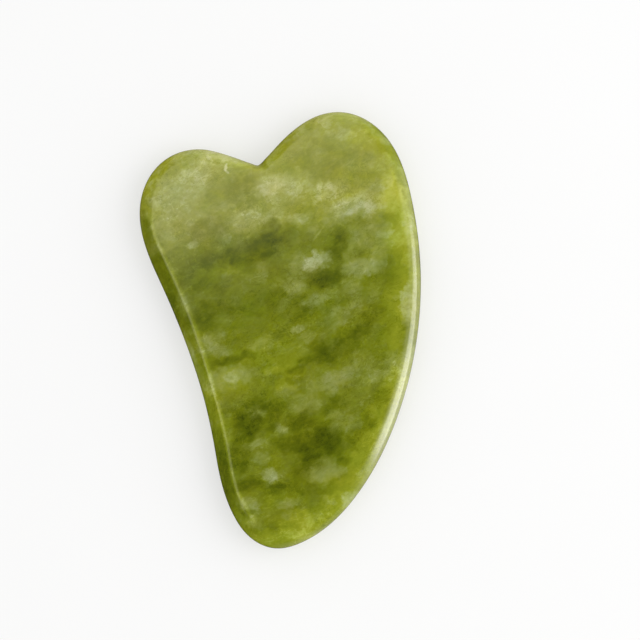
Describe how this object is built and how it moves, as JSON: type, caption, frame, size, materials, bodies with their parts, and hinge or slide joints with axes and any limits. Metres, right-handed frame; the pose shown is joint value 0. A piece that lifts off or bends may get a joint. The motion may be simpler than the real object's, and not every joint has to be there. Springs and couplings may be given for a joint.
{
  "type": "gua sha scraper",
  "caption": "Heart-shaped flat plate of polished green jade with two lobes, a notch, a concave edge, a convex edge and a rounded tip, for scraping and massaging skin.",
  "frame": {"origin": "middle of the plate's outline box, on the lower flat face, which it rests on", "axes": "+Z out of the upper flat face, +Y towards the notched end with two lobes, +X towards the long convex edge"},
  "size_m": [0.0458, 0.071, 0.006],
  "materials": {
    "jade": "hand-polished, waxy gloss, translucent at the edges"
  },
  "bodies": {
    "root": {"jade_plate": "jade"}
  },
  "joints": []
}
